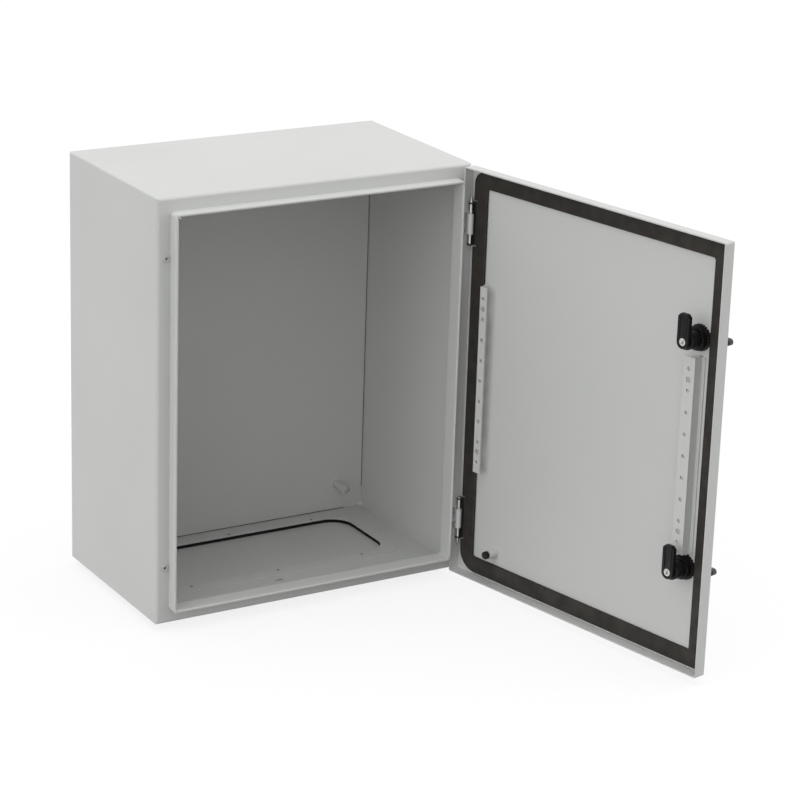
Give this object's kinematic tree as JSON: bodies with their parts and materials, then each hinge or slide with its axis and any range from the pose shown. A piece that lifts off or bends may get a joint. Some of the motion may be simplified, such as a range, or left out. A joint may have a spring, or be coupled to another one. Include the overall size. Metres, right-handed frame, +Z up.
{
  "type": "wall enclosure",
  "caption": "Steel wall enclosure with a hinged door, quarter-turn locks, perforated door rails and a gland plate, shown unlocked and open.",
  "frame": {"origin": "centre of the four wall fixing holes, on the outer face of the back panel", "axes": "+X towards the hinge side, +Y out of the back into the wall, +Z up"},
  "size_m": [0.4924, 0.6273, 0.5075],
  "materials": {
    "paint": "light grey powder coat with a fine texture",
    "zinc": "zinc plated",
    "steel": "plain drawn steel",
    "dark_steel": "dark coating, satin",
    "foam": "closed cell foam, matt",
    "black_plastic": "glass filled plastic, satin",
    "grey_plastic": "grey plastic",
    "grey_lock": "dark grey plastic, satin"
  },
  "bodies": {
    "enclosure": {"body_wrapper": "paint", "back_panel": "paint", "corner_welds": "paint", "plate_studs": "zinc", "stud_sleeves": "paint", "gland_gasket": "foam", "gland_plate": "paint", "gland_screws": "zinc", "blanking_plugs": "grey_plastic", "hinge_bracket_upper": "paint", "hinge_bracket_lower": "paint", "hinge_screws": "zinc", "hinge_washers": "zinc"},
    "door": {"door_pan": "paint", "door_gasket": "foam", "hinge_leaf_upper": "dark_steel", "hinge_leaf_lower": "dark_steel", "hinge_pin_upper": "steel", "hinge_pin_lower": "steel", "hinge_clips": "steel", "hinge_side_rail": "paint", "lock_side_rail": "paint", "door_earth_stud": "paint", "earth_stud_cap": "black_plastic", "lock_housing_upper": "black_plastic", "lock_housing_lower": "black_plastic", "lock_seal_upper": "foam", "lock_seal_lower": "foam", "lock_nut_upper": "black_plastic", "lock_nut_lower": "black_plastic"},
    "upper_lock": {"lock_knob_upper": "grey_lock", "lock_cam_upper": "black_plastic", "cam_screw_upper": "zinc"},
    "lower_lock": {"lock_knob_lower": "grey_lock", "lock_cam_lower": "black_plastic", "cam_screw_lower": "zinc"}
  },
  "joints": [
    {"name": "door_swing", "type": "hinge", "parent": "enclosure", "child": "door", "pos_m": [0.1934, -0.2416, 0], "axis": [0, 0, 1], "range_deg": [-101.7, 18.3]},
    {"name": "upper_lock_turn", "type": "hinge", "parent": "door", "child": "upper_lock", "pos_m": [0.27355, -0.58723, 0.134], "axis": [0.9792, 0.2028, 0], "range_deg": [0, 90]},
    {"name": "lower_lock_turn", "type": "hinge", "parent": "door", "child": "lower_lock", "pos_m": [0.27355, -0.58723, -0.1305], "axis": [0.9792, 0.2028, 0], "range_deg": [0, 90]}
  ]
}
